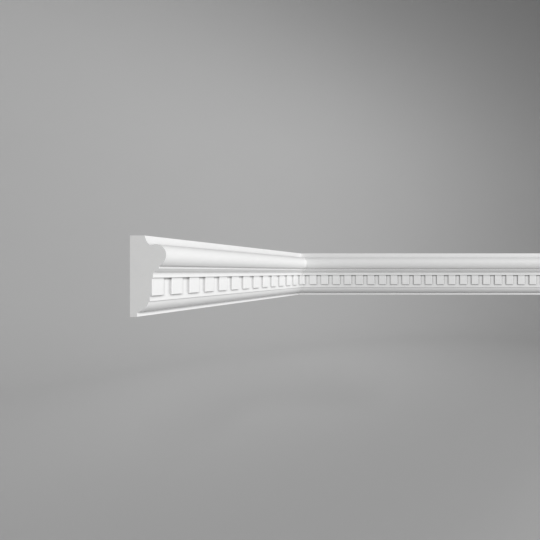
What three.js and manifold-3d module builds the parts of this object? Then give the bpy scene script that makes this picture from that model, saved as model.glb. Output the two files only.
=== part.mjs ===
// A dado rail with a row of dentils, turning through one inside corner.
// Two lengths meet in a 45 degree mitre: the left length runs forward from the corner to a square cut end,
// the right length runs off to the right and is cut square too. Each is cast in one with its dentils.
// Millimetres, +Z up, +X to the right, +Y away from the viewer. The origin is on the fixing face of the
// right length, halfway along it and halfway up it.

import * as THREE from "three";
import { mergeVertices } from "three/addons/utils/BufferGeometryUtils.js";
import Module from "manifold-3d";

// Lengths along the fixing faces, measured from the corner where those two faces meet.
const LEFT_LENGTH = 278;
const RIGHT_LENGTH = 420;

// The members of the section from the top arris down. A reach steps out from the fixing face on the way
// down, and a return steps back in towards it.
const COVE_HEIGHT = 7.5;
const COVE_REACH = 8.9;
const COVE_LEAN = 2;
const CROWN_HEIGHT = 9;
const CROWN_REACH = 9.6;
const CROWN_BACK = 2.5;
const BELLY_HEIGHT = 9.7;
const BELLY_RETURN = 4.8;
const FILLET_HEIGHT = 2.1;
const FILLET_RETURN = 1.5;
const SOFFIT_HEIGHT = 2.7;
const SOFFIT_RETURN = 3.1;
const SMALL_COVE_HEIGHT = 2.4;
const SMALL_COVE_RETURN = 2;
const SMALL_COVE_HOLLOW = 0.5;
const BAND_HEIGHT = 3.1;
const BAND_LAP = 0.9;
const FRIEZE_HEIGHT = 20.3;
const QUIRK_RETURN = 1.2;
const OVOLO_HEIGHT = 9.3;
const OVOLO_RETURN = 9.7;
const OVOLO_SWELL = 1.7;
const BASE_HEIGHT = 3.9;
const BASE_DEPTH = 6.1;

// The dentils stand out of the frieze, hang from the band and stop short of the frieze's foot.
const DENTIL_WIDTH = 11.6;
const DENTIL_GAP = 7.66;
const DENTIL_RELIEF = 1.8;
const DENTIL_FOOT_MARGIN = 4.8;
const DENTIL_ROOT = 3;

// What the mitre leaves of the dentil that it cuts, measured along each length at the dentil's face.
const LEFT_CORNER_DENTIL = 9;
const RIGHT_CORNER_DENTIL = 3.4;

// The open seam between the two mitred faces, measured square to them.
const MITRE_SEAM = 0.3;

// What is added to a sweep before its end is cut square.
const END_WASTE = 15;

const CURVE_STEPS = 14;
const SMALL_CURVE_STEPS = 6;

const PRIMER = { color: 0xf1f1f0, roughness: 0.55, metalness: 0 };

// Heights above the underside, from the foot up.
const friezeFoot = BASE_HEIGHT + OVOLO_HEIGHT;
const bandFoot = friezeFoot + FRIEZE_HEIGHT;
const bandTop = bandFoot + BAND_HEIGHT;
const soffitFoot = bandTop + SMALL_COVE_HEIGHT;
const filletFoot = soffitFoot + SOFFIT_HEIGHT;
const bellyFoot = filletFoot + FILLET_HEIGHT;
const nose = bellyFoot + BELLY_HEIGHT;
const crownTop = nose + CROWN_HEIGHT;
const railHeight = crownTop + COVE_HEIGHT;

// Depths out from the fixing face, from the foot up.
const ovoloDepth = BASE_DEPTH + OVOLO_RETURN;
const friezeDepth = ovoloDepth + QUIRK_RETURN;
const dentilDepth = friezeDepth + DENTIL_RELIEF;
const bandDepth = dentilDepth + BAND_LAP;
const soffitDepth = bandDepth + SMALL_COVE_RETURN;
const filletDepth = soffitDepth + SOFFIT_RETURN;
const bellyFootDepth = filletDepth + FILLET_RETURN;
const noseDepth = bellyFootDepth + BELLY_RETURN;
const crownDepth = noseDepth - CROWN_REACH;
const topDepth = crownDepth - COVE_REACH;

// The roll's curve runs back past its top, so that the cove meets it in a shallow crease.
const creaseTurn = Math.asin(CROWN_BACK / CROWN_REACH);
const creaseDepth = crownDepth - CROWN_BACK;
const creaseHeight = nose + CROWN_HEIGHT * Math.cos(creaseTurn);

// A point of the section, as depth out from the fixing face and height above the underside.
function point(depth, height) {
  return new THREE.Vector2(depth, height);
}

// The points after the first one on an arc from one point to another, bowed by swell to the left of travel.
function arc(from, to, swell, steps) {
  const chord = to.clone().sub(from);
  const half = chord.length() / 2;
  const side = Math.sign(swell);
  const radius = (half * half + swell * swell) / (2 * Math.abs(swell));
  const left = point(-chord.y, chord.x).normalize();
  const centre = from.clone().addScaledVector(chord, 0.5).addScaledVector(left, swell - side * radius);
  const start = from.clone().sub(centre).angle();
  const sweep = -side * 2 * Math.asin(half / radius);
  const points = [];
  for (let i = 1; i <= steps; i += 1) {
    const angle = start + sweep * i / steps;
    points.push(point(centre.x + radius * Math.cos(angle), centre.y + radius * Math.sin(angle)));
  }
  return points;
}

// The crown of the roll, on an ellipse from the crease over its top and out to the nose.
function crownPoints() {
  const crown = new THREE.EllipseCurve(
    crownDepth, nose, CROWN_REACH, CROWN_HEIGHT, Math.PI / 2 + creaseTurn, 0, true,
  );
  return crown.getPoints(CURVE_STEPS).slice(1);
}

// The belly of the roll, one arc that leaves the nose straight down and draws back in below it.
function bellyPoints() {
  const radius = (BELLY_HEIGHT ** 2 + BELLY_RETURN ** 2) / (2 * BELLY_RETURN);
  const sweep = Math.atan2(BELLY_HEIGHT, radius - BELLY_RETURN);
  const points = [];
  for (let i = 1; i <= CURVE_STEPS; i += 1) {
    const angle = sweep * i / CURVE_STEPS;
    points.push(point(noseDepth - radius * (1 - Math.cos(angle)), nose - radius * Math.sin(angle)));
  }
  return points;
}

// The closed outline of the section, from the top of the fixing face round the front to its foot.
function sectionOutline() {
  const coveTop = point(topDepth, railHeight);
  const coveBend = point(topDepth + COVE_LEAN, creaseHeight);
  const cove = new THREE.QuadraticBezierCurve(coveTop, coveBend, point(creaseDepth, creaseHeight));
  const smallCoveTop = point(soffitDepth, soffitFoot);
  const ovoloTop = point(ovoloDepth, friezeFoot);
  return [
    point(0, railHeight),
    ...cove.getPoints(CURVE_STEPS),
    ...crownPoints(),
    ...bellyPoints(),
    point(filletDepth, bellyFoot),
    point(filletDepth, filletFoot),
    smallCoveTop,
    ...arc(smallCoveTop, point(bandDepth, bandTop), -SMALL_COVE_HOLLOW, SMALL_CURVE_STEPS),
    point(bandDepth, bandFoot),
    point(friezeDepth, bandFoot),
    point(friezeDepth, friezeFoot),
    ovoloTop,
    ...arc(ovoloTop, point(BASE_DEPTH, BASE_HEIGHT), OVOLO_SWELL, CURVE_STEPS),
    point(BASE_DEPTH, 0),
    point(0, 0),
  ];
}

// The section swept along +X from 0 to the given length, its depth standing out towards -Y.
function sweptSection(length) {
  const geometry = new THREE.ExtrudeGeometry(new THREE.Shape(sectionOutline()), {
    depth: length, bevelEnabled: false, steps: 1,
  });
  const turn = new THREE.Matrix4().makeBasis(
    new THREE.Vector3(0, -1, 0), new THREE.Vector3(0, 0, 1), new THREE.Vector3(-1, 0, 0),
  );
  return geometry.applyMatrix4(turn).translate(length, 0, 0);
}

// One dentil, from its root inside the frieze and the band to its face.
function dentil(start) {
  const top = bandFoot + BAND_HEIGHT / 2;
  const foot = friezeFoot + DENTIL_FOOT_MARGIN;
  const thickness = DENTIL_ROOT + DENTIL_RELIEF;
  const geometry = new THREE.BoxGeometry(DENTIL_WIDTH, thickness, top - foot);
  return geometry.translate(start + DENTIL_WIDTH / 2, thickness / 2 - dentilDepth, (top + foot) / 2);
}

// A block that takes away everything past the mitre plane, with half of the seam.
function mitreCutter() {
  const size = 4 * (noseDepth + railHeight);
  const block = new THREE.BoxGeometry(size, size, size);
  return block.translate(MITRE_SEAM / 2 - size / 2, 0, railHeight / 2).rotateZ(Math.PI / 4);
}

// A block that takes away everything past the square cut end.
function endCutter(length) {
  const size = 4 * (noseDepth + railHeight);
  return new THREE.BoxGeometry(size, size, size).translate(length + size / 2, 0, railHeight / 2);
}

const wasm = await Module();
wasm.setup();

function toSolid(geometry) {
  geometry.deleteAttribute("normal");
  geometry.deleteAttribute("uv");
  const merged = mergeVertices(geometry, 1e-4);
  return new wasm.Manifold(new wasm.Mesh({
    numProp: 3,
    vertProperties: new Float32Array(merged.attributes.position.array),
    triVerts: new Uint32Array(merged.index.array),
  }));
}

function toGeometry(solid) {
  const mesh = solid.getMesh();
  const geometry = new THREE.BufferGeometry();
  geometry.setAttribute("position", new THREE.BufferAttribute(new Float32Array(mesh.vertProperties), 3));
  geometry.setIndex(new THREE.BufferAttribute(new Uint32Array(mesh.triVerts), 1));
  geometry.computeVertexNormals();
  return geometry;
}

// A length with its mitre at x = 0, its square cut end at x = length and its row of dentils. The row starts
// with the dentil that the mitre cuts.
function mitredLength(length, cornerDentil) {
  let solid = toSolid(sweptSection(length + END_WASTE));
  const rowStart = dentilDepth + cornerDentil - DENTIL_WIDTH;
  for (let start = rowStart; start < length; start += DENTIL_WIDTH + DENTIL_GAP) {
    solid = solid.add(toSolid(dentil(start)));
  }
  return solid.subtract(toSolid(endCutter(length))).subtract(toSolid(mitreCutter()));
}

function pieceMesh(name, solid) {
  const mesh = new THREE.Mesh(toGeometry(solid), new THREE.MeshStandardMaterial(PRIMER));
  mesh.name = name;
  return mesh;
}

const rightLength = pieceMesh("right_length", mitredLength(RIGHT_LENGTH, RIGHT_CORNER_DENTIL));

// The left length is the other hand: it is mirrored along its run, then turned to run forward.
const otherHand = mitredLength(LEFT_LENGTH, LEFT_CORNER_DENTIL).mirror([1, 0, 0]);
const leftLength = pieceMesh("left_length", otherHand);
leftLength.rotation.z = Math.PI / 2;

const cornerRail = new THREE.Group();
cornerRail.add(leftLength, rightLength);
cornerRail.position.set(-RIGHT_LENGTH / 2, 0, -railHeight / 2);

export default cornerRail;
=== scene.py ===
import math

import bmesh
import bpy
from mathutils import Matrix, Vector


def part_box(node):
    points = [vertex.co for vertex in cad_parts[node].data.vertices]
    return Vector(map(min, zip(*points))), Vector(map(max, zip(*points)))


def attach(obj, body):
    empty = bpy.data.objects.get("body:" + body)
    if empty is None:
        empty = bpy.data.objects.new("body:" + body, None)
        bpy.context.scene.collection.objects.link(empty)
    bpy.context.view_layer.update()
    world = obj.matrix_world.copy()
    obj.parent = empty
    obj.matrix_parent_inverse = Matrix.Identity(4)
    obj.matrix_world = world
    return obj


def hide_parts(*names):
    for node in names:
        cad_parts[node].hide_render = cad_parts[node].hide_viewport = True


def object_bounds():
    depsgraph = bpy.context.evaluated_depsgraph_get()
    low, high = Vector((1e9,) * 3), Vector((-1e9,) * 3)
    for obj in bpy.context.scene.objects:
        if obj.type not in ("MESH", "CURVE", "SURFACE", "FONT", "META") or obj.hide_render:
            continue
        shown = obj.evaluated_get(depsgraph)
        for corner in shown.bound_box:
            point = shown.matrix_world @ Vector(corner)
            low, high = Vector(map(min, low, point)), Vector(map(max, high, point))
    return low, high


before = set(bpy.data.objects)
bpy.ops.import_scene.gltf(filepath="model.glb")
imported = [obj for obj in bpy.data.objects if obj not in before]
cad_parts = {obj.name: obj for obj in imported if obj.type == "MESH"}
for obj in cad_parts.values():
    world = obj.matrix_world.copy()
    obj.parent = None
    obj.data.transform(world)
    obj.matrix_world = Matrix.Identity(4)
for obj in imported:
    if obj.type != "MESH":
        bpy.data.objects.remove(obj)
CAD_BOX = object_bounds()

bl_info = {
    "name": "Dentil dado rail, inside corner",
    "version": (1, 0, 0),
    "blender": (4, 5, 0),
    "location": "3D View > Sidebar > Dado rail",
    "description": "Two mitred lengths of primed dado rail with a row of dentils, in a plain studio",
    "category": "Add Mesh",
}

MM = 0.001
ROOT_BODY = "root"
LEFT_NODE = "left_length"
RIGHT_NODE = "right_length"

# The photograph's frame: its side in pixels, the pixel at which lines square to the right length's fixing
# face run together, and how many pixels a thing as wide as it is far away takes up.
PHOTO_SIDE = 540
VANISHING_PIXEL = (463.72, 272.03)
FOCAL_PIXELS = 322.38
SENSOR_WIDTH = 36.0

# How finely curves and softened edges are drawn.
CURVE_STEPS = 18
SMALL_CURVE_STEPS = 6
ARRIS_STEPS = 4
DENTIL_EDGE_STEPS = 3
DENTIL_ROOT_STEPS = 2
FLOOR_RINGS = 4
FLOOR_SWEEP_STEPS = 24
FLOOR_SIDES = 128

# How far a flat face stays flat before it turns, and how near the mitre's cut a point counts as on it.
FLAT_MARGIN = 0.09 * MM
CUT_TOLERANCE = 1e-8

# The order of a length's finishes: on its moulded faces, on its cut ends and on its fixing face.
MOULDED_FINISH = 0
CUT_FINISH = 1
FIXING_FINISH = 2

# Sizes of the primer's marks, and how deep its orange peel is.
PEEL_SIZE = 1.6 * MM
SWELL_SIZE = 22 * MM
MOTTLE_SIZE = 9 * MM
PINHOLE_SPACING = 7 * MM
PEEL_DEPTH = 0.03 * MM

# The tone of the shade painted into the inner corners, as a share of the primer's, and the share of its
# surroundings that a point sees where no shade is painted, and where the painted shade is darkest.
CORNER_SHADE_TONE = 0.36
UNSHADED_OPENNESS = 0.98
DARKEST_SHADE_OPENNESS = 0.5
CORNER_SHADE_SAMPLES = 12

# Sizes of the marks on a sawn end, and how deep they are.
GRAIN_SIZE = 0.5 * MM
CELL_SIZE = 0.7 * MM
CORE_CLOUD_SIZE = 12 * MM
SAW_LINE_SIZE = 9 * MM
SAW_LINE_STRETCH = (1.0, 1.0, 14.0)
SAWN_DEPTH = 0.05 * MM

# Sizes of the marks on a sanded fixing face, and how deep they are.
SCRATCH_SIZE = 0.5 * MM
SCRATCH_STRETCH = (0.06, 0.06, 1.0)
BACK_CLOUD_SIZE = 30 * MM
PORE_SPACING = 3 * MM
SANDED_DEPTH = 0.06 * MM

FLOOR_MOTTLE_SIZE = 800 * MM

# A Mix node's sockets for two colours, and the one where the mixed colour comes out.
MIX_FIRST = 6
MIX_SECOND = 7
MIX_RESULT = 2

# Which way the key and the fill lamp lie from the rail, and in metres where the backdrop's lamp hangs and
# which way it shines.
KEY_WAY = Vector((0.64, -1.0, 0.5))
FILL_WAY = Vector((1.0, -0.08, 0.24))
BACKDROP_PLACE = Vector((-0.6, 1.0, 2.0))
BACKDROP_AIM = Vector((-1.0, 0.9, -0.5))

CAMERA_NEAR_CLIP = 10 * MM


def distance(name, mm, description):
    """A length that a user can change, given here in millimetres and kept in metres."""
    return bpy.props.FloatProperty(
        name=name, description=description, default=mm * MM, min=0.0,
        subtype="DISTANCE", unit="LENGTH", precision=5,
    )


def colour(name, rgb, description):
    """A colour that a user can change."""
    return bpy.props.FloatVectorProperty(
        name=name, description=description, default=rgb, size=3, min=0.0, max=1.0, subtype="COLOR",
    )


def power(name, watts, description):
    """A lamp's strength that a user can change."""
    return bpy.props.FloatProperty(
        name=name, description=description, default=watts, min=0.0, subtype="POWER", unit="POWER",
    )


class DadoSection(bpy.types.PropertyGroup):
    """The members of the section, from the top arris down."""

    cove_height: distance("Cove height", 7.5, "Height of the hollow under the top arris")
    cove_reach: distance("Cove reach", 8.9, "How far the hollow steps out")
    cove_lean: distance("Cove lean", 2.0, "How far out the hollow's bend lies from its top")
    crown_height: distance("Crown height", 9.0, "Height of the roll above its nose")
    crown_reach: distance("Crown reach", 9.6, "How far the roll's crown steps out")
    crown_back: distance("Crown back", 2.5, "How far the roll's curve runs back past its top")
    crease_dip: distance("Crease dip", 1.0, "How far the crease behind the roll lies below its top")
    shoulder: distance("Shoulder", 0.9, "How far the roll's shoulder leans over the crease")
    belly_height: distance("Belly height", 9.7, "Height of the roll below its nose")
    belly_return: distance("Belly return", 5.5, "How far the roll draws back in below its nose")
    fillet_height: distance("Fillet height", 2.1, "Height of the flat edge under the roll")
    fillet_return: distance("Fillet return", 0.8, "How far that edge lies behind the roll's foot")
    soffit_height: distance("Soffit height", 2.7, "Height of the sloping underside")
    soffit_return: distance("Soffit return", 3.1, "How far the underside slopes in")
    small_cove_height: distance("Small cove height", 2.4, "Height of the small hollow above the band")
    small_cove_return: distance("Small cove return", 2.0, "How far the small hollow steps in")
    small_cove_hollow: distance("Small cove hollow", 0.5, "Depth of the small hollow's bow")
    band_height: distance("Band height", 3.1, "Height of the flat band over the dentils")
    band_lap: distance("Band lap", 0.9, "How far the band stands out over the dentils' faces")
    frieze_height: distance("Frieze height", 20.3, "Height of the ground that the dentils stand on")
    quirk_return: distance("Quirk return", 0.9, "Step in at the frieze's foot")
    ovolo_height: distance("Ovolo height", 9.3, "Height of the quarter round under the frieze")
    ovolo_return: distance("Ovolo return", 10.0, "How far the quarter round draws in")
    ovolo_swell: distance("Ovolo swell", 2.1, "How far the quarter round bows out of a straight slope")
    base_height: distance("Base height", 3.9, "Height of the flat edge at the foot")
    base_depth: distance("Base depth", 6.1, "Depth of the foot from the fixing face")
    arris: distance("Arris softening", 0.34, "How far from an edge the moulded surface starts to turn")
    fine: distance("Fine softening", 0.16, "The same at inner corners and small steps")


class DadoDentils(bpy.types.PropertyGroup):
    """The row of dentils."""

    width: distance("Width", 11.6, "Width of one dentil")
    gap: distance("Gap", 7.66, "Space between two dentils")
    relief: distance("Relief", 1.8, "How far a dentil stands out of the frieze")
    foot_margin: distance("Foot margin", 4.8, "Frieze left bare below the dentils")
    left_corner: distance("Left corner dentil", 9.0, "What the mitre leaves of the cut dentil on the left")
    right_corner: distance("Right corner dentil", 3.4, "What the mitre leaves of it on the right")
    draft: distance("Draft", 0.1, "How far a dentil's sides lean, half each way")
    edge: distance("Edge softening", 0.34, "How far in from its edge a dentil's face starts to turn")
    root: distance("Root softening", 0.2, "How far out from its edge the dentil's root runs")


class DadoFinish(bpy.types.PropertyGroup):
    """The colours of the casting, the shade painted into its inner corners, and the joint at the mitre."""

    primer: colour("Primer", (0.86, 0.86, 0.858), "White factory primer on the moulded faces")
    core: colour("Core", (0.83, 0.83, 0.825), "Bare polymer on the cut ends")
    back: colour("Back", (0.8, 0.795, 0.78), "Sanded polymer on the fixing faces")
    # Shade painted into the primer's inner corners: how far out it reaches and how dark it makes them.
    corner_shade_reach: distance("Dust reach", 3.2, "How far out of an inner corner the grey dust lies")
    painted_shade: bpy.props.FloatProperty(
        name="Corner shade", description="How grey the dust makes the inner corners", default=1.0, min=0.0, max=1.0,
    )
    seam: distance("Mitre seam", 0.05, "Open width of the mitre joint")


class DadoStudio(bpy.types.PropertyGroup):
    """The plain floor, the soft lights and the camera."""

    floor: colour("Floor", (0.55, 0.55, 0.55), "Pale floor that sweeps up all round")
    floor_drop: distance("Floor drop", 600.0, "Height of the rail's underside over the floor")
    flat_radius: distance("Flat radius", 2500.0, "Radius of the flat part of the floor")
    sweep_radius: distance("Sweep radius", 2000.0, "Radius of the curve where the floor turns up")
    rim_height: distance("Rim height", 5600.0, "Height of the sweep's rim over the floor")
    lamp_distance: distance("Lamp distance", 3000.0, "Distance of the key and fill lamps from the rail")
    key_power: power("Key power", 51.0, "Power of the key lamp, which draws the thin shadows")
    key_width: distance("Key width", 600.0, "Width of the key lamp")
    fill_power: power("Fill power", 44.0, "Power of the broad lamp that fills the shadows")
    fill_width: distance("Fill width", 1300.0, "Width of the broad lamp")
    backdrop_power: power("Backdrop power", 45.0, "Power of the lamp that lights the sweep behind the rail")
    backdrop_width: distance("Backdrop width", 1500.0, "Width of that lamp")
    surround: colour("Surround", (0.18, 0.18, 0.18), "Even light from above the sweep")
    camera_side: distance("Camera side", 286.66, "Camera's distance from the left fixing face")
    camera_back: distance("Camera back", 554.9, "Camera's distance from the right fixing face")
    camera_height: distance("Camera height", 38.55, "Camera's height over the rail's underside")


SETTINGS = {
    "dado_section": DadoSection,
    "dado_dentils": DadoDentils,
    "dado_finish": DadoFinish,
    "dado_studio": DadoStudio,
}


class Value:
    """A shader socket that takes part in Python sums, each of which adds a Math node."""

    def __init__(self, shader, socket):
        self.shader = shader
        self.socket = socket

    def combine(self, operation, first, second):
        """The outcome of one sum, in which either side may be a plain number."""
        return self.shader.node("ShaderNodeMath", {"operation": operation}, {0: first, 1: second})

    def __add__(self, other):
        return self.combine("ADD", self, other)

    def __sub__(self, other):
        return self.combine("SUBTRACT", self, other)

    def __rsub__(self, other):
        return self.combine("SUBTRACT", other, self)

    def __mul__(self, other):
        return self.combine("MULTIPLY", self, other)

    __radd__ = __add__
    __rmul__ = __mul__


class Shader:
    """A new material, and the one method that adds any node to it."""

    def __init__(self, name):
        self.material = bpy.data.materials.new(name)
        self.material.use_nodes = True
        self.tree = self.material.node_tree
        self.surface = self.tree.nodes["Principled BSDF"]

    def node(self, kind, settings, sockets, output=0):
        """Adds a node, gives it its settings and then its sockets, and hands on one of its outputs."""
        made = self.tree.nodes.new(kind)
        for key, setting in settings.items():
            setattr(made, key, setting)
        for key, given in sockets.items():
            self.feed(made.inputs[key], given)
        return Value(self, made.outputs[output])

    def feed(self, socket, given):
        """Links a value into a socket, or sets the socket to a constant."""
        if isinstance(given, Value):
            self.tree.links.new(given.socket, socket)
        else:
            socket.default_value = given

    def finish(self, **sockets):
        """Feeds the surface's sockets, whose names are given with _ for a space."""
        for key, given in sockets.items():
            self.feed(self.surface.inputs[key.replace("_", " ")], given)
        return self.material

    def place(self):
        """Where a point of the piece is, in metres in the piece's own space."""
        return self.node("ShaderNodeTexCoord", {}, {}, "Object")

    def stretched(self, place, along):
        """The same place with each axis scaled, so that a pattern comes out long or short that way."""
        return self.node("ShaderNodeVectorMath", {"operation": "MULTIPLY"}, {0: place, 1: along})

    def noise(self, place, size, detail=2.0, roughness=0.5):
        """Soft noise from 0 to 1 whose blotches have about the given size in metres."""
        sockets = {"Vector": place, "Scale": 1 / size, "Detail": detail, "Roughness": roughness}
        return self.node("ShaderNodeTexNoise", {}, sockets)

    def cells(self, place, size):
        """Distance to the middle of the nearest random cell, as a share of a cell."""
        return self.node("ShaderNodeTexVoronoi", {}, {"Vector": place, "Scale": 1 / size})

    def above(self, value, edge, softness):
        """0 below the edge and 1 above it, with a smooth ramp of the given width."""
        sockets = {"Value": value, "From Min": edge - softness / 2, "From Max": edge + softness / 2}
        return self.node("ShaderNodeMapRange", {"interpolation_type": "SMOOTHSTEP"}, sockets)

    def recess(self, reach):
        """0 on open faces, rising towards 1 in an inner corner, as a share of the shade painted there."""
        settings = {"samples": CORNER_SHADE_SAMPLES, "only_local": True}
        open_share = self.node("ShaderNodeAmbientOcclusion", settings, {"Distance": reach}, "AO")
        sockets = {"Value": open_share, "From Min": UNSHADED_OPENNESS, "From Max": DARKEST_SHADE_OPENNESS}
        return self.node("ShaderNodeMapRange", {}, sockets)

    def mix(self, share, first, second):
        """The first colour where the share is 0, and the second one where it is 1."""
        sockets = {"Factor": share, MIX_FIRST: first, MIX_SECOND: second}
        return self.node("ShaderNodeMix", {"data_type": "RGBA"}, sockets, MIX_RESULT)

    def bump(self, height, depth):
        """A normal bent by a height from 0 to 1 that stands for the given depth in metres."""
        return self.node("ShaderNodeBump", {}, {"Height": height, "Strength": 1.0, "Distance": depth})


def tinted(rgb, factor):
    """The colour made lighter or darker by a factor, with a fourth channel for a shader's socket."""
    return (*(min(1.0, channel * factor) for channel in rgb), 1.0)


def primer_material(finish):
    """Smooth sprayed primer: faint orange peel, a little mottle, a few pinholes, and shade painted into the
    corners.
    """
    shader = Shader("white_primer")
    place = shader.place()
    peel = shader.noise(place, PEEL_SIZE, detail=2.0, roughness=0.45)
    swell = shader.noise(place, SWELL_SIZE)
    mottle = shader.noise(place, MOTTLE_SIZE, detail=3.0, roughness=0.6)
    pinhole = 1 - shader.above(shader.cells(place, PINHOLE_SPACING), edge=0.035, softness=0.02)
    clean = shader.mix(mottle, tinted(finish.primer, 0.985), tinted(finish.primer, 1.012))
    # Painted shade: the less of its surroundings a point sees, the nearer the primer's colour goes to the
    # dark corner tone.
    painted_shade = shader.recess(finish.corner_shade_reach) * finish.painted_shade
    shaded_primer = shader.mix(painted_shade, clean, tinted(finish.primer, CORNER_SHADE_TONE))
    return shader.finish(
        Base_Color=shader.mix(pinhole * 0.35, shaded_primer, tinted(finish.primer, 0.72)),
        Roughness=0.44 + mottle * 0.12 + pinhole * 0.2,
        Normal=shader.bump(peel * 0.7 + swell * 0.9 - pinhole * 2, PEEL_DEPTH),
        Specular_IOR_Level=0.42,
    )


def core_material(finish):
    """Sawn dense foam: fine cells, faint saw lines and a soft tone."""
    shader = Shader("sawn_core")
    place = shader.place()
    grain = shader.noise(place, GRAIN_SIZE, detail=3.0, roughness=0.65)
    cell = shader.above(shader.cells(place, CELL_SIZE), edge=0.22, softness=0.2)
    cloud = shader.noise(place, CORE_CLOUD_SIZE, detail=3.0, roughness=0.55)
    across = shader.stretched(place, SAW_LINE_STRETCH)
    lines = shader.noise(across, SAW_LINE_SIZE, detail=3.0, roughness=0.7)
    tone = shader.mix(cloud, tinted(finish.core, 0.97), tinted(finish.core, 1.03))
    return shader.finish(
        Base_Color=shader.mix((1 - cell) * 0.4 + lines * 0.12, tone, tinted(finish.core, 0.86)),
        Roughness=0.72 + grain * 0.16,
        Normal=shader.bump(grain * 0.5 + cell * 0.5 + lines * 0.8, SAWN_DEPTH),
        Specular_IOR_Level=0.3,
    )


def back_material(finish):
    """Sanded fixing face: long fine scratches over a dull, slightly uneven ground."""
    shader = Shader("sanded_back")
    place = shader.place()
    along = shader.stretched(place, SCRATCH_STRETCH)
    scratch = shader.noise(along, SCRATCH_SIZE, detail=3.0, roughness=0.7)
    cloud = shader.noise(place, BACK_CLOUD_SIZE, detail=3.0, roughness=0.6)
    pore = 1 - shader.above(shader.cells(place, PORE_SPACING), edge=0.1, softness=0.05)
    tone = shader.mix(cloud, tinted(finish.back, 0.94), tinted(finish.back, 1.04))
    return shader.finish(
        Base_Color=shader.mix(pore * 0.5 + scratch * 0.2, tone, tinted(finish.back, 0.8)),
        Roughness=0.74 + scratch * 0.18,
        Normal=shader.bump(scratch - pore * 1.5, SANDED_DEPTH),
        Specular_IOR_Level=0.28,
    )


def floor_material(studio):
    """Matt paper with a very faint mottle."""
    shader = Shader("pale_floor")
    mottle = shader.noise(shader.place(), FLOOR_MOTTLE_SIZE)
    return shader.finish(
        Base_Color=shader.mix(mottle, tinted(studio.floor, 0.99), tinted(studio.floor, 1.01)),
        Roughness=0.9,
        Specular_IOR_Level=0.1,
    )


def quadratic(start, bend, end, steps):
    """Points from start to end of a curve that heads for its bend."""
    shares = [i / steps for i in range(steps + 1)]
    return [start * (1 - t) ** 2 + bend * (2 * t * (1 - t)) + end * t ** 2 for t in shares]


def bowed(start, end, swell, steps):
    """Points of an arc that bows out to the left of travel by swell, or to the right if it is negative."""
    chord = end - start
    half = chord.length / 2
    side = math.copysign(1, swell)
    radius = (half ** 2 + swell ** 2) / (2 * abs(swell))
    left = Vector((-chord.y, chord.x)).normalized()
    centre = start + chord / 2 + left * (swell - side * radius)
    first = math.atan2(start.y - centre.y, start.x - centre.x)
    sweep = -side * 2 * math.asin(half / radius)
    angles = [first + sweep * i / steps for i in range(steps + 1)]
    return [centre + Vector((math.cos(a), math.sin(a))) * radius for a in angles]


def trimmed(points, cut):
    """The run of points with the given length taken off its start."""
    run = list(points)
    while (run[1] - run[0]).length <= cut:
        cut -= (run[1] - run[0]).length
        run.pop(0)
    run[0] = run[0] + (run[1] - run[0]).normalized() * cut
    return run


def depths_and_heights(section, dentils):
    """Depths out from the fixing face and heights over the underside at which the members meet."""
    base_top = section.base_height
    frieze_foot = base_top + section.ovolo_height
    band_foot = frieze_foot + section.frieze_height
    band_top = band_foot + section.band_height
    soffit_foot = band_top + section.small_cove_height
    fillet_foot = soffit_foot + section.soffit_height
    belly_foot = fillet_foot + section.fillet_height
    nose = belly_foot + section.belly_height
    crown_top = nose + section.crown_height
    heights = {
        "base": base_top, "frieze": frieze_foot, "band": band_foot, "small_cove": band_top,
        "soffit": soffit_foot, "fillet": fillet_foot, "belly": belly_foot, "nose": nose,
        "crown": crown_top, "top": crown_top + section.cove_height,
    }
    ovolo = section.base_depth + section.ovolo_return
    frieze = ovolo + section.quirk_return
    dentil = frieze + dentils.relief
    band = dentil + section.band_lap
    soffit = band + section.small_cove_return
    fillet = soffit + section.soffit_return
    belly = fillet + section.fillet_return
    nose = belly + section.belly_return
    crown = nose - section.crown_reach
    depths = {
        "base": section.base_depth, "ovolo": ovolo, "frieze": frieze, "dentil": dentil, "band": band,
        "soffit": soffit, "fillet": fillet, "belly": belly, "nose": nose, "crown": crown,
        "top": crown - section.cove_reach,
    }
    return depths, heights


def cove_and_roll(section, depths, heights):
    """The cove down to its crease, and the roll over its crown and down its belly to its foot."""
    crease = Vector((depths["crown"] - section.crown_back, heights["crown"] - section.crease_dip))
    shoulder = quadratic(
        crease, Vector((crease.x + section.shoulder, heights["crown"])),
        Vector((depths["crown"], heights["crown"])), SMALL_CURVE_STEPS,
    )
    crown = shoulder + [
        Vector((depths["crown"] + section.crown_reach * math.sin(a),
                heights["nose"] + section.crown_height * math.cos(a)))
        for a in (math.pi / 2 * i / CURVE_STEPS for i in range(1, CURVE_STEPS + 1))
    ]
    top = Vector((depths["top"], heights["top"]))
    bend = Vector((depths["top"] + section.cove_lean, crease.y))
    radius = (section.belly_height ** 2 + section.belly_return ** 2) / (2 * section.belly_return)
    sweep = math.atan2(section.belly_height, radius - section.belly_return)
    belly = [
        Vector((depths["nose"] - radius * (1 - math.cos(a)), heights["nose"] - radius * math.sin(a)))
        for a in (sweep * i / CURVE_STEPS for i in range(1, CURVE_STEPS + 1))
    ]
    return quadratic(top, bend, crown[0], CURVE_STEPS), crown + belly


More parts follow.
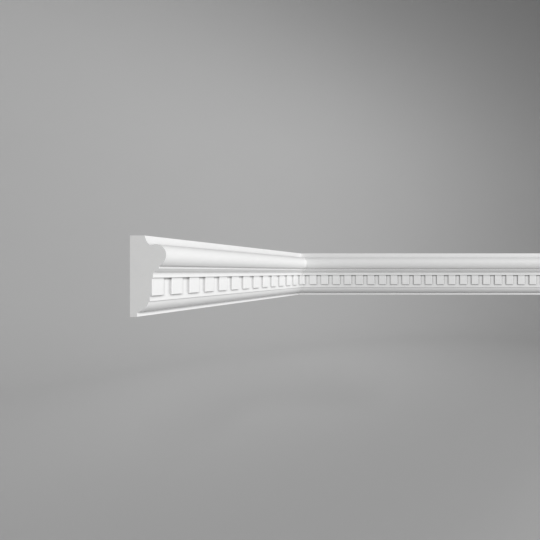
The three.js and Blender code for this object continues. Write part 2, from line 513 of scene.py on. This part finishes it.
def dentil_side(dentils):
    """Points down a dentil's side: how far out from its edge, and what share of its relief stands there."""
    slope = 2 * dentils.draft / dentils.relief
    inside = -dentils.draft
    outside = dentils.draft
    face = quadratic(
        Vector((inside - dentils.edge, dentils.relief)), Vector((inside, dentils.relief)),
        Vector((inside + dentils.edge * slope, dentils.relief - dentils.edge)), DENTIL_EDGE_STEPS,
    )
    foot = quadratic(
        Vector((outside - dentils.root * slope, dentils.root)), Vector((outside, 0)),
        Vector((outside + dentils.root, 0)), DENTIL_ROOT_STEPS,
    )
    last_flat = Vector((inside - dentils.edge - FLAT_MARGIN, dentils.relief))
    first_flat = Vector((outside + dentils.root + FLAT_MARGIN, 0))
    return [(p.x, p.y / dentils.relief) for p in [last_flat, *face, *foot, first_flat]]


def section_rows(section, dentils):
    """The section's closed outline as rows of depth, height and how far a dentil pushes the row out.

    The rows run from the top of the fixing face over the front to the foot, and up the fixing face again.
    Each member gives up a little of its two ends to a softened corner, by the measure that ends its line.
    """
    depths, heights = depths_and_heights(section, dentils)

    def spot(depth, height):
        return Vector((depths[depth] if depth else 0.0, heights[height] if height else 0.0))

    small_cove = bowed(
        spot("soffit", "soffit"), spot("band", "small_cove"), -section.small_cove_hollow, SMALL_CURVE_STEPS,
    )
    ovolo = bowed(spot("ovolo", "frieze"), spot("base", "base"), section.ovolo_swell, CURVE_STEPS)
    cove, roll = cove_and_roll(section, depths, heights)
    soft = section.arris
    fine = section.fine
    members = [
        ("top", [spot("", "top"), spot("top", "top")], soft),
        ("cove", cove, fine),
        ("roll", roll, fine),
        ("roll foot", [spot("belly", "belly"), spot("fillet", "belly")], fine),
        ("fillet", [spot("fillet", "belly"), spot("fillet", "fillet")], soft),
        ("soffit", [spot("fillet", "fillet"), spot("soffit", "soffit")], soft),
        ("small cove", small_cove, soft),
        ("band", [spot("band", "small_cove"), spot("band", "band")], soft),
        ("band underside", [spot("band", "band"), spot("frieze", "band")], fine),
        ("frieze", [spot("frieze", "band"), spot("frieze", "frieze")], soft),
        ("quirk", [spot("frieze", "frieze"), spot("ovolo", "frieze")], fine),
        ("ovolo", ovolo, soft),
        ("base", [spot("base", "base"), spot("base", "")], soft),
        ("underside", [spot("base", ""), spot("", "")], fine),
        ("back", [spot("", ""), spot("", "top")], fine),
    ]
    rows = []
    for index, (name, full, after) in enumerate(members):
        before = members[index - 1][2]
        run = trimmed(trimmed(full, before)[::-1], after)[::-1]
        if len(full) == 2:
            margin = (run[1] - run[0]).normalized() * FLAT_MARGIN
            run = [run[0], run[0] + margin, run[1] - margin, run[1]]
        next_start = trimmed(members[(index + 1) % len(members)][1], after)[0]
        turn = quadratic(run[-1], full[-1], next_start, ARRIS_STEPS)[1:-1]
        if name == "band underside":
            reach = run[0].x - run[-1].x
            rows += [(p, (run[0].x - p.x) / reach) for p in run]
            rows += [(p, 1.0) for p in turn]
        elif name == "frieze":
            foot = heights["frieze"] + dentils.foot_margin
            rows += [(p, 1.0) for p in run[:2]]
            rows += [(Vector((depths["frieze"], foot - out)), share) for out, share in dentil_side(dentils)]
            rows += [(p, 0.0) for p in run[2:] + turn]
        else:
            rows += [(p, 0.0) for p in run + turn]
    return [(p.x, p.y, share * dentils.relief) for p, share in rows]


def dentil_columns(run_length, corner_dentil, dentils, face_depth):
    """Places along a length and, at each, what share of the dentils' relief stands there."""
    side = dentil_side(dentils)
    columns = [(0.0, 0.0)]
    start = face_depth + corner_dentil - dentils.width
    while start < run_length:
        end = start + dentils.width
        columns += [(start - out, share) for out, share in reversed(side)]
        if end < run_length:
            columns += [(end + out, share) for out, share in side]
        start = end + dentils.gap
    columns = [column for column in columns if 0.0 <= column[0] < run_length - FLAT_MARGIN]
    return columns + [(run_length, columns[-1][1])]


def mitred_mesh(rows, columns, seam):
    """A closed length as one mesh, with run, depth and height for its axes and its mitre at the start."""
    mesh = bmesh.new()
    grid = [
        [mesh.verts.new((run, depth + push * share, height)) for run, share in columns]
        for depth, height, push in rows
    ]
    for above, below in zip([grid[-1], *grid], grid):
        on_back = above[0].co.y == 0.0 and below[0].co.y == 0.0
        for k in range(len(columns) - 1):
            face = mesh.faces.new((above[k], above[k + 1], below[k + 1], below[k]))
            face.smooth = True
            face.material_index = FIXING_FINISH if on_back else MOULDED_FINISH
    caps = [mesh.faces.new([line[0] for line in grid]), mesh.faces.new([line[-1] for line in grid])]
    # The cap at the start falls away with all that lies past the mitre, and a new one closes the cut.
    past_mitre = Vector((-1.0, 1.0, 0.0)).normalized()
    cut = bmesh.ops.bisect_plane(
        mesh, geom=mesh.verts[:] + mesh.edges[:] + mesh.faces[:], dist=CUT_TOLERANCE,
        plane_co=past_mitre * (-seam / 2), plane_no=past_mitre, clear_outer=True,
    )
    rim = [edge for edge in cut["geom_cut"] if isinstance(edge, bmesh.types.BMEdge)]
    caps += bmesh.ops.contextual_create(mesh, geom=rim)["faces"]
    for cap in caps:
        if cap.is_valid:
            cap.smooth = False
            cap.material_index = CUT_FINISH
            for edge in cap.edges:
                edge.smooth = False
    return mesh


def finished_mesh(name, mesh, place, materials):
    """The mesh moved into the frame, with its faces turned out and its finishes."""
    bmesh.ops.transform(mesh, matrix=place, verts=mesh.verts)
    bmesh.ops.recalc_face_normals(mesh, faces=mesh.faces)
    data = bpy.data.meshes.new(name)
    mesh.to_mesh(data)
    mesh.free()
    for material in materials:
        data.materials.append(material)
    return data


class DADO_OT_lengths(bpy.types.Operator):
    """Build the two mitred lengths of rail, each cast in one with its dentils"""

    bl_idname = "dado.lengths"
    bl_label = "Rail lengths"

    def execute(self, context):
        section = context.scene.dado_section
        dentils = context.scene.dado_dentils
        finish = context.scene.dado_finish
        left_low = Vector(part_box(LEFT_NODE)[0])
        right_low, right_high = map(Vector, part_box(RIGHT_NODE))
        corner = Vector((left_low.x, right_high.y, right_low.z))
        rows = section_rows(section, dentils)
        face_depth = depths_and_heights(section, dentils)[0]["dentil"]
        materials = [primer_material(finish), core_material(finish), back_material(finish)]
        # These two turn run, depth and height into the frame's axes: away from the corner towards the
        # viewer, and away from it to the right.
        forward = Matrix(((0, 1, 0, 0), (-1, 0, 0, 0), (0, 0, 1, 0), (0, 0, 0, 1)))
        sideways = Matrix(((1, 0, 0, 0), (0, -1, 0, 0), (0, 0, 1, 0), (0, 0, 0, 1)))
        lengths = (
            (LEFT_NODE, corner.y - left_low.y, dentils.left_corner, forward),
            (RIGHT_NODE, right_high.x - corner.x, dentils.right_corner, sideways),
        )
        for node, run_length, corner_dentil, turn in lengths:
            columns = dentil_columns(run_length, corner_dentil, dentils, face_depth)
            name = f"{node}_moulded"
            mesh = mitred_mesh(rows, columns, finish.seam)
            piece = bpy.data.objects.new(
                name, finished_mesh(name, mesh, Matrix.Translation(corner) @ turn, materials),
            )
            context.collection.objects.link(piece)
            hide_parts(node)
            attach(piece, ROOT_BODY)
        return {"FINISHED"}


def sweep_mesh(studio):
    """A round floor that curves up all round into an upright rim."""
    profile = [Vector((studio.flat_radius * i / FLOOR_RINGS, 0.0)) for i in range(1, FLOOR_RINGS + 1)]
    turns = [math.pi / 2 * i / FLOOR_SWEEP_STEPS for i in range(1, FLOOR_SWEEP_STEPS + 1)]
    profile += [
        Vector((studio.flat_radius + studio.sweep_radius * math.sin(a),
                studio.sweep_radius * (1 - math.cos(a))))
        for a in turns
    ]
    profile.append(Vector((profile[-1].x, studio.rim_height)))
    angles = [2 * math.pi * i / FLOOR_SIDES for i in range(FLOOR_SIDES)]
    mesh = bmesh.new()
    centre = mesh.verts.new((0, 0, 0))
    rings = [
        [mesh.verts.new((p.x * math.cos(a), p.x * math.sin(a), p.y)) for a in angles]
        for p in profile
    ]
    for i in range(FLOOR_SIDES):
        j = (i + 1) % FLOOR_SIDES
        mesh.faces.new((centre, rings[0][i], rings[0][j]))
        for inner, outer in zip(rings, rings[1:]):
            mesh.faces.new((inner[i], outer[i], outer[j], inner[j]))
    for face in mesh.faces:
        face.smooth = True
    data = bpy.data.meshes.new("floor")
    mesh.to_mesh(data)
    mesh.free()
    return data


def soft_lamp(context, name, place, aim, width, watts):
    """A round lamp that shines one way and that the camera doesn't see."""
    lamp = bpy.data.objects.new(name, bpy.data.lights.new(name, "AREA"))
    lamp.data.shape = "DISK"
    lamp.data.size = width
    lamp.data.energy = watts
    lamp.location = place
    lamp.rotation_euler = aim.to_track_quat("-Z", "Y").to_euler()
    lamp.visible_camera = False
    context.collection.objects.link(lamp)


def lay_floor(context, studio):
    """The floor, well below the rail."""
    floor = bpy.data.objects.new("floor", sweep_mesh(studio))
    floor.data.materials.append(floor_material(studio))
    floor.location.z = CAD_BOX[0][2] - studio.floor_drop
    context.collection.objects.link(floor)


def hang_lamps(context, studio):
    """The key and the fill lamp, the backdrop's lamp, and the even light from above."""
    key_place = KEY_WAY.normalized() * studio.lamp_distance
    fill_place = FILL_WAY.normalized() * studio.lamp_distance
    soft_lamp(context, "key", key_place, -KEY_WAY, studio.key_width, studio.key_power)
    soft_lamp(context, "fill", fill_place, -FILL_WAY, studio.fill_width, studio.fill_power)
    soft_lamp(
        context, "backdrop", BACKDROP_PLACE, BACKDROP_AIM, studio.backdrop_width, studio.backdrop_power,
    )
    world = bpy.data.worlds.new("surround")
    world.use_nodes = True
    world.node_tree.nodes["Background"].inputs["Color"].default_value = (*studio.surround, 1.0)
    context.scene.world = world


def stand_camera(context, studio):
    """The camera, level and square to the right length, where the photograph was taken from."""
    view = bpy.data.cameras.new("camera")
    view.sensor_width = SENSOR_WIDTH
    view.lens = FOCAL_PIXELS / PHOTO_SIDE * SENSOR_WIDTH
    view.shift_x = 0.5 - VANISHING_PIXEL[0] / PHOTO_SIDE
    view.shift_y = VANISHING_PIXEL[1] / PHOTO_SIDE - 0.5
    view.clip_start = CAMERA_NEAR_CLIP
    camera = bpy.data.objects.new("camera", view)
    camera.location = (
        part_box(LEFT_NODE)[0][0] + studio.camera_side,
        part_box(RIGHT_NODE)[1][1] - studio.camera_back,
        CAD_BOX[0][2] + studio.camera_height,
    )
    camera.rotation_euler = (math.pi / 2, 0, 0)
    context.collection.objects.link(camera)
    context.scene.camera = camera


class DADO_OT_stage(bpy.types.Operator):
    """Set up the plain floor, the soft lights and the camera"""

    bl_idname = "dado.stage"
    bl_label = "Studio"

    def execute(self, context):
        studio = context.scene.dado_studio
        lay_floor(context, studio)
        hang_lamps(context, studio)
        stand_camera(context, studio)
        context.scene.view_settings.view_transform = "Standard"
        return {"FINISHED"}


class DADO_PT_panel(bpy.types.Panel):
    """The steps that build the rail, and the sizes and colours they use"""

    bl_label = "Dado rail"
    bl_idname = "DADO_PT_panel"
    bl_space_type = "VIEW_3D"
    bl_region_type = "UI"
    bl_category = "Dado rail"

    def draw(self, context):
        for operator in OPERATORS:
            self.layout.operator(operator.bl_idname)
        for setting, group in SETTINGS.items():
            box = self.layout.box()
            box.label(text=group.__name__.removeprefix("Dado"))
            for name in group.__annotations__:
                box.prop(getattr(context.scene, setting), name)


OPERATORS = (DADO_OT_lengths, DADO_OT_stage)
CLASSES = (*SETTINGS.values(), *OPERATORS, DADO_PT_panel)


def register():
    for cls in CLASSES:
        bpy.utils.register_class(cls)
    for setting, group in SETTINGS.items():
        setattr(bpy.types.Scene, setting, bpy.props.PointerProperty(type=group))


def unregister():
    for setting in SETTINGS:
        delattr(bpy.types.Scene, setting)
    for cls in reversed(CLASSES):
        bpy.utils.unregister_class(cls)


def main():
    register()
    bpy.ops.dado.lengths()
    bpy.ops.dado.stage()


if __name__ == "__main__":
    main()
